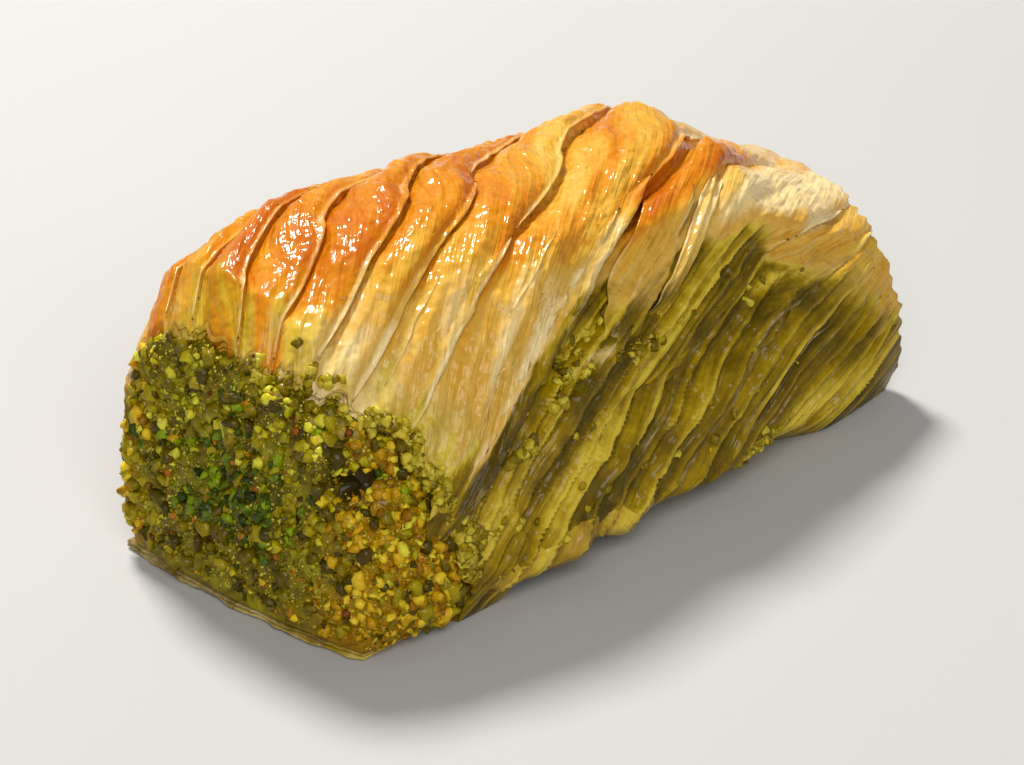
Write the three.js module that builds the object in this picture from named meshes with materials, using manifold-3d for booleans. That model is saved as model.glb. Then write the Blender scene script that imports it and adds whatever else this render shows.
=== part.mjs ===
// Pistachio baklava piece in millimetres: pleated filo wrapped round a nut filling that shows at both ends.
// +X along the roll, the open end at -X, the long side with the torn flap at -Y, flat base on Z = 0.
import * as THREE from "three";
import { ConvexGeometry } from "three/addons/geometries/ConvexGeometry.js";
import { ParametricGeometry } from "three/addons/geometries/ParametricGeometry.js";
import { mergeVertices } from "three/addons/utils/BufferGeometryUtils.js";
import Module from "manifold-3d";

// Smooth body: crest height and sideways lean of the crest along the roll
const crestKeys = [
  -34, -32, -29, -25, -20, -14, -7, 0, 5,
  10, 14, 18, 20.5, 22.5, 24.5, 26.5, 28.5, 30.5, 33,
];
const crestHeights = [
  20.6, 23.8, 27.6, 28.6, 30.3, 30.8, 30.4, 28.9, 28.4,
  28.5, 28.0, 27.5, 25.6, 23.9, 22.9, 21.6, 20.3, 19.4, 18.4,
];
const leanKeys = [-34, -22, -10, 5, 14, 20, 25, 29, 33];
const leans = [7.2, 5.0, 2.4, 1.5, 0.8, 1.4, 1.0, -0.3, -1.0];
const halfWidth = 16.8;
const endNarrowing = 1.4;
const sideRoundness = 2.7;
const crestRoundness = 2.25;
const footTuck = 0.13;
const footTuckHeight = 9;

// Near edge of the base, tucked in below a lip
const undercutDepth = 2.6;
const undercutHeight = 3.2;
const undercutFrom = -14;
const undercutTo = 20;
const lip = { from: -20, to: 12, fade: 3, angles: [3, 9], angleFade: 2.5, reach: 0.7 };

// Pleats: each crease is a helix that moves along the roll as it goes round
const twistPerDegree = 0.62;
const creases = [
  -94, -86, -78, -70, -61, -53, -44.5, -36, -28, -20, -12, -4.5, 5, 20.3,
  31, 38, 46, 53, 58.5, 64, 69.5, 75, 81, 88, 94,
];
const pleatSteps = [0, 0.2, 0.45, 0.71, 0.9];
const pleatDepth = 1.4;
const pleatMiddle = 0.6;
const pleatSkew = 0.62;
const pleatSquareness = 2.4;
const pleatVariety = 0.22;
const usualPleatWidth = 8.5;
const leastPleatShare = 0.55;
const mostPleatShare = 1.1;
const creaseSway = 1.6;
const wrinkleDepth = 0.3;
const footFade = 4;

// Raised flap and the dips round it: from and to count across the creases, angles go round the roll
const flap = { from: 4, to: 20.3, fade: 1, angles: [18, 68], angleFade: 5, rise: 0.8 };
const tear = { from: 21.7, to: 30, fade: 0.9, angles: [34, 58], angleFade: 4, depth: 1.5 };
const hollow = { from: 40, to: 52.5, fade: 1.6, angles: [22, 50], angleFade: 5, depth: 1.9 };
const saddle = { from: 20.3, to: 23.5, fade: 1.4, angles: [64, 125], angleFade: 8, depth: 1.5 };

// Shell round the filling
const shellThickness = 2.9;
const rimThickness = 1.7;
const rimRun = 7;
const baseThickness = 1.15;
const gap = 0.35;
const thinnest = 0.5;
const rodEnd = 170;

// Open edge of the filo at the -X end, by angle round the roll, and the far edge
const mouthAngles = [0, 10, 20, 30, 40, 50, 60, 75, 90, 120, 180];
const mouthEdges = [-21.5, -22, -23, -24.5, -26.4, -28.6, -30.2, -31.4, -32.0, -32.6, -33.2];
const tailEdge = 32.6;
const tailBase = 32.2;
const raggedness = 0.45;

// Filling: end faces, rough nuggets
const fillingFloor = baseThickness + gap;
const nearFace = -32.0;
const faceSlant = 0.062;
const faceBulge = 0.7;
const baseBulge = 1.9;
const baseBulgeAt = 3;
const baseBulgeReach = 17;
const baseBulgeHeight = 16;
const tailFace = 31.7;
const faceRings = 5;
const faceRoughness = 0.6;
const pit = { at: [-32.6, -11.6, 16.8], radius: 1.9 };
const frontNuggets = 50;
const cornerNuggets = 26;
const tailNuggets = 22;
const sideCrumbs = 18;
const looseCrumbs = [
  [-14, 7, 1.1],
  [9, 9, 1.2],
  [10.6, 12, 0.9],
  [2, 24, 0.9],
  [-6, 26, 0.9],
];
const nuggetPoints = 12;
const nuggetSize = [0.8, 1.5];

const shellRows = 42;
const baseRows = 3;
const boreRows = 26;
const centring = [1.2, 0.05, 0];

const archShare = 0.8;
const degree = Math.PI / 180;
const seed = 20257;

const wasm = await Module();
wasm.setup();

const clamp = THREE.MathUtils.clamp;
const lerp = THREE.MathUtils.lerp;
const smooth = THREE.MathUtils.smoothstep;

// Repeatable random numbers
function randomSource(start) {
  let state = start;
  return () => {
    state = (state * 1664525 + 1013904223) % 4294967296;
    return state / 4294967296;
  };
}

// Value at x on the straight lines between key points
function alongKeys(x, keys, values) {
  let i = 1;
  while (i < keys.length - 1 && x > keys[i]) {
    i += 1;
  }
  const share = clamp((x - keys[i - 1]) / (keys[i] - keys[i - 1]), 0, 1);
  return lerp(values[i - 1], values[i], share);
}

// Soft window that is 1 between two values and fades outside them
function windowed(value, from, to, fade) {
  const start = smooth(value, from - fade, from + fade);
  return start * (1 - smooth(value, to - fade, to + fade));
}

// Share of a patch of relief at a place
function patchShare(patch, along, angle) {
  const span = windowed(along, patch.from, patch.to, patch.fade);
  return span * windowed(angle, ...patch.angles, patch.angleFade);
}

// Uneven waves from -1 to 1
function ripple(a, b) {
  const first = Math.sin(a * 1.7 + 2.1 * Math.sin(b * 0.9 + a * 0.31));
  return first * Math.sin(b * 1.3 + 1.7 * Math.sin(a * 0.6 + 1.1));
}

// Smooth section point at x and angle (0 near foot, 180 far foot), moved in by side, top and floor
function sectionPoint(x, angle, side, top, floor) {
  const c = Math.cos(angle * degree);
  const s = Math.max(Math.sin(angle * degree), 0);
  const z = floor + Math.pow(s, 2 / crestRoundness) * (alongKeys(x, crestKeys, crestHeights) - top - floor);
  const narrowing = endNarrowing * clamp((Math.abs(x) - 20) / 13, 0, 1) ** 2;
  const tuck = 1 - footTuck * clamp(1 - z / footTuckHeight, 0, 1) ** 2;
  const reach = Math.pow(Math.abs(c), 2 / sideRoundness) * (halfWidth - narrowing - side) * tuck;
  const lean = alongKeys(x, leanKeys, leans) * Math.pow(Math.max(z, 0) / 32, 1.5);
  let y = -Math.sign(c) * reach + lean;
  if (c > 0) {
    const low = clamp(1 - z / undercutHeight, 0, 1);
    y += undercutDepth * low * windowed(x, undercutFrom, undercutTo, 4);
  }
  return [y, z];
}

// Length position of a crease line at an angle round the roll; s is where it crosses the crest
function creaseX(s, angle) {
  const sway = creaseSway * (Math.sin(angle * 0.045 + s * 0.11) - Math.sin(90 * 0.045 + s * 0.11));
  return s + twistPerDegree * (angle - 90) + sway;
}

// Height of the relief over the smooth body, on crease line s
function relief(s, angle) {
  const x = creaseX(s, angle);
  let i = 0;
  while (i < creases.length - 2 && s >= creases[i + 1]) {
    i += 1;
  }
  const width = creases[i + 1] - creases[i];
  const w = clamp((s - creases[i]) / width, 0, 1);
  const bulge = 1 - Math.pow(Math.abs(2 * Math.pow(1 - w, pleatSkew) - 1), pleatSquareness);
  const size = clamp(width / usualPleatWidth, leastPleatShare, mostPleatShare);
  const variety = 1 + pleatVariety * Math.sin(i * 2.3 + angle * 0.05);
  const sides = 0.55 + 0.45 * smooth(angle, 25, 70) * (1 - smooth(angle, 130, 165));
  let height = (bulge - pleatMiddle) * pleatDepth * size * variety * sides;
  height += wrinkleDepth * ripple(s * 1.1, angle * 0.16) * (0.6 + 0.4 * Math.sin(s * 0.4));
  height += flap.rise * patchShare(flap, s, angle);
  height -= tear.depth * patchShare(tear, s, angle);
  height -= hollow.depth * patchShare(hollow, s, angle);
  height -= saddle.depth * patchShare(saddle, s, angle);
  height += lip.reach * patchShare(lip, x, angle);
  return height;
}

// Cover over the filling, thinner towards the open edge
function coverThickness(inside) {
  return lerp(rimThickness, shellThickness, clamp(inside / rimRun, 0, 1));
}

// Outer surface of the filo on crease line s
function shellPoint(s, angle) {
  const x = creaseX(s, angle);
  const [y, z] = sectionPoint(x, angle, 0, 0, 0);
  const [yBefore, zBefore] = sectionPoint(x, Math.max(angle - 1, 0), 0, 0, 0);
  const [yAfter, zAfter] = sectionPoint(x, Math.min(angle + 1, 180), 0, 0, 0);
  const length = Math.hypot(yAfter - yBefore, zAfter - zBefore) || 1;
  const deepest = coverThickness(x - mouthAt(angle)) - gap - thinnest;
  const height = Math.max(relief(s, angle), -deepest) * clamp(z / footFade, 0, 1);
  const outY = (zBefore - zAfter) / length;
  const outZ = (yAfter - yBefore) / length;
  return [x, y + outY * height, Math.max(z + outZ * height, 0)];
}

// Edge of the filo at the -X end, round the section
function mouthAt(angle) {
  const ragged = raggedness * (ripple(angle * 0.3, 2) + 0.5 * ripple(angle * 0.7, 5));
  return alongKeys(angle, mouthAngles, mouthEdges) + ragged;
}

// Angle round the section for t from 0 to 1: the arch first, then the flat base back to the near foot
function loopAngle(t) {
  return t <= archShare ? (t / archShare) * 180 : 180 * (1 - (t - archShare) / (1 - archShare));
}

// How deep the filling lies under the smooth body
function fillingDepth(x, angle, ahead) {
  const inside = x - ahead - mouthAt(angle);
  return lerp(0.25, coverThickness(inside), smooth(inside, -1.5, -0.6));
}

// Tube closed at both ends: ring(i, t) gives a point, the first and last rings run in to a centre
function tube(rings, rows, ring, firstCentre, lastCentre) {
  const slices = rings + 1;
  return new ParametricGeometry(
    (u, v, target) => {
      const i = Math.round(u * slices) - 1;
      const t = Math.round(v * rows) === rows ? 0 : v;
      if (i < 0) {
        target.set(...firstCentre);
      } else if (i >= rings) {
        target.set(...lastCentre);
      } else {
        target.set(...ring(i, t));
      }
    },
    slices,
    rows,
  );
}

// Closed solid of a geometry, without its zero-area faces
function solidOf(geometry) {
  geometry.deleteAttribute("normal");
  geometry.deleteAttribute("uv");
  const merged = mergeVertices(geometry, 1e-4);
  const index = merged.index.array;
  const faces = [];
  for (let i = 0; i < index.length; i += 3) {
    const [a, b, c] = [index[i], index[i + 1], index[i + 2]];
    if (a !== b && b !== c && a !== c) {
      faces.push(a, b, c);
    }
  }
  const made = new wasm.Manifold(
    new wasm.Mesh({
      numProp: 3,
      vertProperties: merged.attributes.position.array,
      triVerts: new Uint32Array(faces),
    }),
  );
  if (made.volume() >= 0) {
    return made;
  }
  for (let i = 0; i < faces.length; i += 3) {
    [faces[i + 1], faces[i + 2]] = [faces[i + 2], faces[i + 1]];
  }
  return new wasm.Manifold(
    new wasm.Mesh({
      numProp: 3,
      vertProperties: merged.attributes.position.array,
      triVerts: new Uint32Array(faces),
    }),
  );
}

// Pleated rod, longer than the piece at both ends, its columns lying along the creases
function pleatedRod() {
  const columns = [];
  for (let i = 0; i < creases.length - 1; i += 1) {
    for (const step of pleatSteps) {
      columns.push(lerp(creases[i], creases[i + 1], step));
    }
  }
  columns.push(creases[creases.length - 1]);
  const rows = shellRows + baseRows;
  const ring = (i, t) => {
    const row = Math.round(t * rows);
    const angle = row <= shellRows ? (row / shellRows) * 180 : 180 * (1 - (row - shellRows) / baseRows);
    if (row <= shellRows) {
      return shellPoint(columns[i], angle);
    }
    const [nearX, nearY] = shellPoint(columns[i], 0);
    const [farX, farY] = shellPoint(columns[i], 180);
    return [lerp(nearX, farX, angle / 180), lerp(nearY, farY, angle / 180), 0];
  };
  const ends = creases[creases.length - 1];
  return solidOf(tube(columns.length, rows, ring, [-ends, 0, 9], [ends, 0, 9]));
}

// Front face of the filling: slanted, bulging out low down between its corners
function frontFace(y, z) {
  const across = clamp(1 - ((y - baseBulgeAt) / baseBulgeReach) ** 2, 0, 1);
  return nearFace - faceSlant * (y + 14) - baseBulge * across * clamp(1 - z / baseBulgeHeight, 0, 1);
}

// Solid beyond an open edge: past edge(angle) on the arch and base(y) underneath, away from the piece
function beyond(edge, base, farX) {
  const rows = 96;
  const centreZ = 9;
  const spread = 3;
  const inner = 0.3;
  const ring = (i, t) => {
    const angle = loopAngle(t);
    const arch = t <= archShare;
    const baseY = lerp(-14, 14, angle / 180);
    const x = arch ? edge(angle) : base(baseY);
    const [y, z] = arch ? sectionPoint(x, angle, 0, 0, baseThickness) : [baseY, 0];
    const share = i === 2 ? inner : spread;
    return [i === 0 ? farX : x, y * share, centreZ + (z - centreZ) * share];
  };
  return solidOf(tube(3, rows, ring, [farX, 0, centreZ], [base(0), 0, centreZ]));
}

// Columns along the filling, close together where it is uncovered
function fillingColumns() {
  const columns = [];
  for (let x = -31.6; x < -15; x += 1.5) {
    columns.push(x);
  }
  for (let x = -14; x < 28; x += 6) {
    columns.push(x);
  }
  columns.push(tailFace - 1.6);
  return columns;
}

// Filling body, or the bore for it when grown by the gap and run out past both ends
function fillingBody(grow, runOut) {
  const columns = fillingColumns();
  const faceShares = [];
  for (let i = 1; i <= faceRings; i += 1) {
    faceShares.push(i / faceRings);
  }
  const count = columns.length + 2 * faceRings;
  const centreZ = 10;
  const rows = boreRows + baseRows;
  const ring = (i, t) => {
    const row = Math.round(t * rows);
    const angle = row <= boreRows ? (row / boreRows) * 180 : 180 * (1 - (row - boreRows) / baseRows);
    const front = i < faceRings;
    const back = i >= count - faceRings;
    const edgeX = front ? columns[0] : back ? columns[columns.length - 1] : columns[i - faceRings];
    const depth = fillingDepth(edgeX, angle, grow > 0 ? 0.5 : 0) - grow;
    const floor = fillingFloor - grow;
    let y;
    let z;
    if (row <= boreRows) {
      [y, z] = sectionPoint(edgeX, angle, depth, depth, floor);
    } else {
      const near = sectionPoint(edgeX, 0, depth, depth, floor)[0];
      const far = sectionPoint(edgeX, 180, depth, depth, floor)[0];
      y = lerp(near, far, angle / 180);
      z = floor;
    }
    const share = front ? faceShares[i] : back ? faceShares[count - 1 - i] : 1;
    y *= share;
    z = centreZ + (z - centreZ) * share;
    let x = edgeX;
    const bulge = faceBulge * (1 - share * share);
    if (front) {
      const rough = runOut ? 0 : faceRoughness * ripple(y * 0.9 + 3, z * 0.9);
      x = frontFace(y, z) - bulge + rough - runOut;
    } else if (back) {
      const rough = runOut ? 0 : faceRoughness * ripple(y * 0.8, z * 0.9 + 2);
      x = tailFace + bulge + rough + runOut;
    }
    return [x, y, z];
  };
  const front = frontFace(0, centreZ) - faceBulge - runOut;
  return solidOf(tube(count, rows, ring, [front, 0, centreZ], [tailFace + faceBulge + runOut, 0, centreZ]));
}

// Rough piece of nut
function nugget(random, at, size) {
  const points = [];
  for (let i = 0; i < nuggetPoints; i += 1) {
    const height = lerp(-1, 1, (i + 0.5) / nuggetPoints);
    const round = Math.sqrt(1 - height * height);
    const turn = i * 2.4 + random() * 0.9;
    const reach = size * lerp(0.75, 1.1, random());
    const out = new THREE.Vector3(round * Math.cos(turn), round * Math.sin(turn), height);
    points.push(out.multiplyScalar(reach));
  }
  const geometry = new ConvexGeometry(points);
  const turnAxis = new THREE.Vector3(random() - 0.5, random() - 0.5, random() - 0.5).normalize();
  geometry.applyMatrix4(new THREE.Matrix4().makeRotationAxis(turnAxis, random() * 6));
  geometry.translate(...at);
  return solidOf(geometry);
}

function nuggetRadius(random) {
  return lerp(nuggetSize[0], nuggetSize[1], random() ** 2);
}

// Nuggets on the front face, on the uncovered near corner and on the far face, clear of the filo
function fillingNuggets(filo) {
  const random = randomSource(seed);
  const placed = [];
  const place = (at, size) => {
    if (nugget(random, at, size + 2 * gap).intersect(filo).isEmpty()) {
      placed.push(nugget(random, at, size));
    }
  };
  while (placed.length < frontNuggets) {
    const size = nuggetRadius(random);
    const angle = 180 * random();
    const share = Math.sqrt(random());
    const depth = fillingDepth(-32, angle, 0) + size * 0.7;
    const [rimY, rimZ] = sectionPoint(-32, angle, depth, depth + 0.4, fillingFloor + 0.3);
    const y = rimY * share;
    const z = Math.max(lerp(9, rimZ, share), size + 0.2);
    if (Math.hypot(y - pit.at[1], z - pit.at[2]) > pit.radius + size * 0.6) {
      const x = frontFace(y, z) - faceBulge * (1 - share * share) * 0.8 + 0.25;
      place([x, y, z], size);
    }
  }
  while (placed.length < frontNuggets + cornerNuggets) {
    const size = nuggetRadius(random) * 0.9;
    const angle = 3 + 50 * random();
    const free = mouthAt(angle) - 1.9 - size;
    const x = lerp(-31.4, free, random());
    if (free > -31) {
      const [y, z] = sectionPoint(x, angle, 0.45, 0.45, fillingFloor);
      place([x, y, Math.max(z, size + 0.2)], size);
    }
  }
  while (placed.length < frontNuggets + cornerNuggets + tailNuggets) {
    const size = nuggetRadius(random);
    const angle = 180 * random();
    const share = Math.sqrt(random());
    const depth = shellThickness + size + 0.5;
    const [rimY, rimZ] = sectionPoint(30, angle, depth, depth, fillingFloor + 0.5);
    const z = Math.max(lerp(9, rimZ, share), fillingFloor + size);
    place([tailFace + 0.1, rimY * share, z], size);
  }
  return placed;
}

// Crumbs caught in the tear and under the near edge
function caughtCrumbs() {
  const random = randomSource(seed + 7);
  const placed = [];
  while (placed.length < sideCrumbs) {
    const size = lerp(0.6, 1.15, random());
    const angle = 33 + 26 * random();
    const s = 22 + 8 * random();
    placed.push(nugget(random, shellPoint(s, angle), size));
  }
  for (const [x, angle, size] of looseCrumbs) {
    const [, y, z] = shellPoint(x - twistPerDegree * (angle - 90), angle);
    placed.push(nugget(random, [x, y, Math.max(z, size)], size));
  }
  return placed;
}

function meshOf(name, solid, colour, roughness) {
  const made = solid.getMesh();
  const stride = made.numProp;
  const positions = new Float32Array(made.numVert * 3);
  for (let i = 0; i < made.numVert; i += 1) {
    for (let k = 0; k < 3; k += 1) {
      positions[3 * i + k] = made.vertProperties[stride * i + k] + centring[k];
    }
  }
  const geometry = new THREE.BufferGeometry();
  geometry.setAttribute("position", new THREE.BufferAttribute(positions, 3));
  geometry.setIndex(new THREE.BufferAttribute(new Uint32Array(made.triVerts), 1));
  geometry.computeVertexNormals();
  const material = new THREE.MeshStandardMaterial({
    color: colour,
    roughness,
    metalness: 0,
    flatShading: true,
  });
  const mesh = new THREE.Mesh(geometry, material);
  mesh.name = name;
  return mesh;
}

const frontCut = beyond(mouthAt, (y) => frontFace(y, 0) + 0.25, -rodEnd);
const backCut = beyond((angle) => tailEdge + raggedness * ripple(angle * 0.5, 3), () => tailBase, rodEnd);
const shell = pleatedRod().subtract(frontCut).subtract(backCut);
const wrap = wasm.Manifold.union([shell.subtract(fillingBody(gap, 12)), ...caughtCrumbs()]);

const pitSolid = solidOf(new THREE.IcosahedronGeometry(pit.radius, 1).translate(...pit.at));
const filling = wasm.Manifold.union([fillingBody(0, 0), ...fillingNuggets(wrap)]).subtract(pitSolid);

const piece = new THREE.Group();
piece.add(meshOf("filo_wrap", wrap, 0xd8a04a, 0.35));
piece.add(meshOf("pistachio_filling", filling, 0x7d8a2a, 0.6));

export default piece;
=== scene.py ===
# Pistachio baklava piece: twisted, pleated filo round a coarse nut filling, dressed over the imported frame.
# Shapes are worked out in millimetres on the same roll form as the solids, and made into meshes in metres.
import math
import bpy
import numpy as np
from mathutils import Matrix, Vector


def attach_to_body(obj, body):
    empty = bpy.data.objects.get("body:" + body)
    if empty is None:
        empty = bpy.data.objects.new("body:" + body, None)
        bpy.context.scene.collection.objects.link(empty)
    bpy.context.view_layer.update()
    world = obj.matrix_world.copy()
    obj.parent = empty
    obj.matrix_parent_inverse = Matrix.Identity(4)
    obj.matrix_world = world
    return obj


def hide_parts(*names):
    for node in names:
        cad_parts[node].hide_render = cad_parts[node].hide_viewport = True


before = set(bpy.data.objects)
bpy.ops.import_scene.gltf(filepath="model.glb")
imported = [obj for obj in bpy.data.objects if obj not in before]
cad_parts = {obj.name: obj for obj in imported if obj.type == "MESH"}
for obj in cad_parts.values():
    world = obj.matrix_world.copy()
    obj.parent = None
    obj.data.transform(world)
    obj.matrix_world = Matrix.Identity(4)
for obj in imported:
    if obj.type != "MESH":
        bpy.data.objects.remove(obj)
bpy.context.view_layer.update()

mm = 0.001
arcPerDegree = 0.42  # mm round the roll, about
footAngles = (2.0, 178.0)  # where the leaf meets the base, near and far
pieces = []  # every visible piece, for the closing count

# The roll's driving sizes in mm, the same as those of the solids
roll = {
    "crestKeys": [-34, -32, -29, -25, -20, -14, -7, 0, 5, 10, 14, 18, 20.5, 22.5, 24.5, 26.5, 28.5, 30.5, 33],
    "crestHeights": [20.6, 23.8, 27.6, 28.6, 30.3, 30.8, 30.4, 28.9, 28.4,
                     28.5, 28.0, 27.5, 25.6, 23.9, 22.9, 21.6, 20.3, 19.4, 18.4],
    "leanKeys": [-34, -22, -10, 5, 14, 20, 25, 29, 33],
    "leans": [7.2, 5.0, 2.4, 1.5, 0.8, 1.4, 1.0, -0.3, -1.0],
    "leanHeight": 32,
    "halfWidth": 16.8, "sideRoundness": 2.7, "crestRoundness": 2.25,
    "endNarrowing": 1.4, "endFrom": 20, "endRun": 13,
    "footTuck": 0.13, "footTuckHeight": 9.0,
    "undercutDepth": 2.6, "undercutHeight": 3.2,
    "undercutSpan": (-14.0, 20.0, 4),  # from, to and fade
    "centring": (1.2, 0.05, 0.0),
}

# Pleats: crease lines cross the crest at these x and wind round the roll
pleats = {
    "twistPerDegree": 0.62,
    "creases": [-94, -86, -78, -70, -61, -53, -44.5, -36, -28, -20, -12, -4.5, 5, 20.3,
                31, 38, 46, 53, 58.5, 64, 69.5, 75, 81, 88, 94],
    "depth": 1.4, "variety": 0.22, "skew": 0.62, "fullWidth": 8.5,
    "sway": 1.6, "swayTurns": (0.045, 0.11),  # radians per degree and per mm
    "flapCrease": 20.3,
    "lipReach": 0.7, "lipSpan": (-20, 12, 3), "lipAngles": (3, 9, 2.5),
}

# What rises or sinks over the pleats: height, then low, high and fade along the crease line and in angle
pleatForms = {
    "flapRise": (0.8, (4, 20.3, 1), (18, 68, 5)),
    "tear": (-1.5, (21.7, 30, 0.9), (34, 58, 4)),
    "hollow": (-1.9, (40, 52.5, 1.6), (22, 50, 5)),
    "saddle": (-1.5, (20.3, 23.5, 1.4), (64, 125, 8)),
}

# Cover over the filling, and the open edges of the filo
cover = {
    "thickness": 2.9, "rimThickness": 1.7, "rimRun": 7.0, "base": 1.15,
    "mouthAngles": [0, 10, 20, 30, 40, 50, 60, 75, 90, 120, 180],
    "mouthEdges": [-21.5, -22, -23, -24.5, -26.4, -28.6, -30.2, -31.4, -32.0, -32.6, -33.2],
    "tailEdge": 32.6, "raggedness": 0.45,
}


def unit(value):
    return np.clip(value, 0, 1)


def ease(value, low, high):
    t = unit((value - low) / (high - low))
    return t * t * (3 - 2 * t)


def windowed(value, low, high, fade):
    return ease(value, low - fade, low + fade) * (1 - ease(value, high - fade, high + fade))


def ripple(a, b):
    first = np.sin(a * 1.7 + 2.1 * np.sin(b * 0.9 + a * 0.31))
    return first * np.sin(b * 1.3 + 1.7 * np.sin(a * 0.6 + 1.1))


def hashNoise(ix, iy, seed):
    n = (ix.astype(np.int64) * 374761393 + iy.astype(np.int64) * 668265263 + seed * 2147483647) & 0x7FFFFFFF
    n = ((n ^ (n >> 13)) * 1274126177) & 0x7FFFFFFF
    return ((n ^ (n >> 16)) & 0xFFFF) / 65535.0


def softNoise(x, y, seed):
    # smooth random field from 0 to 1 with cells of size 1
    ix, iy = np.floor(x), np.floor(y)
    fx, fy = x - ix, y - iy
    fx = fx * fx * (3 - 2 * fx)
    fy = fy * fy * (3 - 2 * fy)
    a, b = hashNoise(ix, iy, seed), hashNoise(ix + 1, iy, seed)
    c, d = hashNoise(ix, iy + 1, seed), hashNoise(ix + 1, iy + 1, seed)
    return (a * (1 - fx) + b * fx) * (1 - fy) + (c * (1 - fx) + d * fx) * fy


def noise(x, y, seed, octaves=3):
    total = np.zeros(np.broadcast(x, y).shape)
    weight = 0.0
    for k in range(octaves):
        share = 0.5 ** k
        total += share * softNoise(x * 2 ** k + 17.3 * k, y * 2 ** k - 9.1 * k, seed + k)
        weight += share
    return total / weight


def sectionPoint(x, angle, inset=0.0, floor=0.0):
    # y and z of the smooth section at x; angle 0 is the near foot, 90 the crest, 180 the far foot
    c = np.cos(np.radians(angle))
    s = np.maximum(np.sin(np.radians(angle)), 0)
    crest = np.interp(x, roll["crestKeys"], roll["crestHeights"])
    z = floor + s ** (2 / roll["crestRoundness"]) * (crest - inset - floor)
    narrowing = roll["endNarrowing"] * unit((np.abs(x) - roll["endFrom"]) / roll["endRun"]) ** 2
    tuck = 1 - roll["footTuck"] * unit(1 - z / roll["footTuckHeight"]) ** 2
    reach = np.abs(c) ** (2 / roll["sideRoundness"]) * (roll["halfWidth"] - narrowing - inset) * tuck
    lean = np.interp(x, roll["leanKeys"], roll["leans"]) * (np.maximum(z, 0) / roll["leanHeight"]) ** 1.5
    y = -np.sign(c) * reach + lean
    low = unit(1 - z / roll["undercutHeight"])
    under = roll["undercutDepth"] * low * windowed(x, *roll["undercutSpan"])
    return y + np.where(c > 0, under, 0), z


def sectionNormal(x, low, high, inset=0.0, floor=0.0):
    # direction out of the section between two angles
    y0, z0 = sectionPoint(x, low, inset, floor)
    y1, z1 = sectionPoint(x, high, inset, floor)
    length = np.maximum(np.hypot(y1 - y0, z1 - z0), 1e-6)
    return np.stack([0 * length, -(z1 - z0) / length, (y1 - y0) / length], -1)


def creaseX(s, angle):
    perDegree, perMm = pleats["swayTurns"]
    swing = np.sin(angle * perDegree + s * perMm) - np.sin(90 * perDegree + s * perMm)
    return s + pleats["twistPerDegree"] * (angle - 90) + pleats["sway"] * swing


def creaseLine(x, angle):
    # the crease coordinate of a place: creaseX turned round by a few steps
    s = x - pleats["twistPerDegree"] * (angle - 90)
    for _ in range(6):
        s = s - (creaseX(s, angle) - x) * 0.9
    return s


def mouthAt(angle):
    ragged = cover["raggedness"] * (ripple(angle * 0.3, 2) + 0.5 * ripple(angle * 0.7, 5))
    return np.interp(angle, cover["mouthAngles"], cover["mouthEdges"]) + ragged


def tailAt(angle):
    return cover["tailEdge"] + cover["raggedness"] * ripple(angle * 0.5, 3)


def coverThickness(inside):
    share = unit(inside / cover["rimRun"])
    return cover["rimThickness"] * (1 - share) + cover["thickness"] * share


def pleatPlace(s):
    # index of the pleat at crease coordinate s, how far across it, and its width
    creases = np.array(pleats["creases"], float)
    i = np.clip(np.searchsorted(creases, s, side="right") - 1, 0, len(creases) - 2)
    width = creases[i + 1] - creases[i]
    return i, unit((s - creases[i]) / width), width


def pleatRelief(s, x, angle):
    i, w, width = pleatPlace(s)
    bulge = 1 - np.abs(2 * (1 - w) ** pleats["skew"] - 1) ** 2.4
    variety = 1 + pleats["variety"] * np.sin(i * 2.3 + angle * 0.05)
    narrow = np.clip(width / pleats["fullWidth"], 0.55, 1.1) * variety
    low = 0.55 + 0.45 * ease(angle, 25, 70) * (1 - ease(angle, 130, 165))
    height = (bulge - 0.6) * pleats["depth"] * narrow * low
    for size, lines, angles in pleatForms.values():
        height += size * windowed(s, *lines) * windowed(angle, *angles)
    return height + pleats["lipReach"] * windowed(x, *pleats["lipSpan"]) * windowed(angle, *pleats["lipAngles"])


# Nut filling: end faces, floor height, pits as y, z, radius and depth, and how rough the paste is
nuts = {
    "floor": 1.05, "centreZ": 10.0, "lumps": 0.7, "grit": 0.4,
    "nearFace": -32.0, "tailFace": 31.7, "faceSlant": 0.062, "faceBulge": 0.7,
    "baseBulge": 1.9, "baseBulgeAt": 3.0, "baseBulgeReach": 17.0,
    "pits": [(-10.4, 15.4, 1.7, 3.0), (5.5, 15.0, 1.2, 1.4), (-3.0, 7.0, 1.0, 1.1), (9.5, 8.0, 1.1, 1.2),
             (1.5, 11.5, 1.4, 1.2), (-6.2, 11.4, 0.8, 1.4), (3.4, 5.4, 0.8, 1.2), (-1.2, 16.0, 0.8, 1.2),
             (10.8, 12.4, 0.8, 1.3), (-8.2, 5.2, 0.8, 1.1), (6.4, 19.2, 0.7, 1.0), (-12.4, 9.4, 0.8, 1.1)],
}

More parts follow.
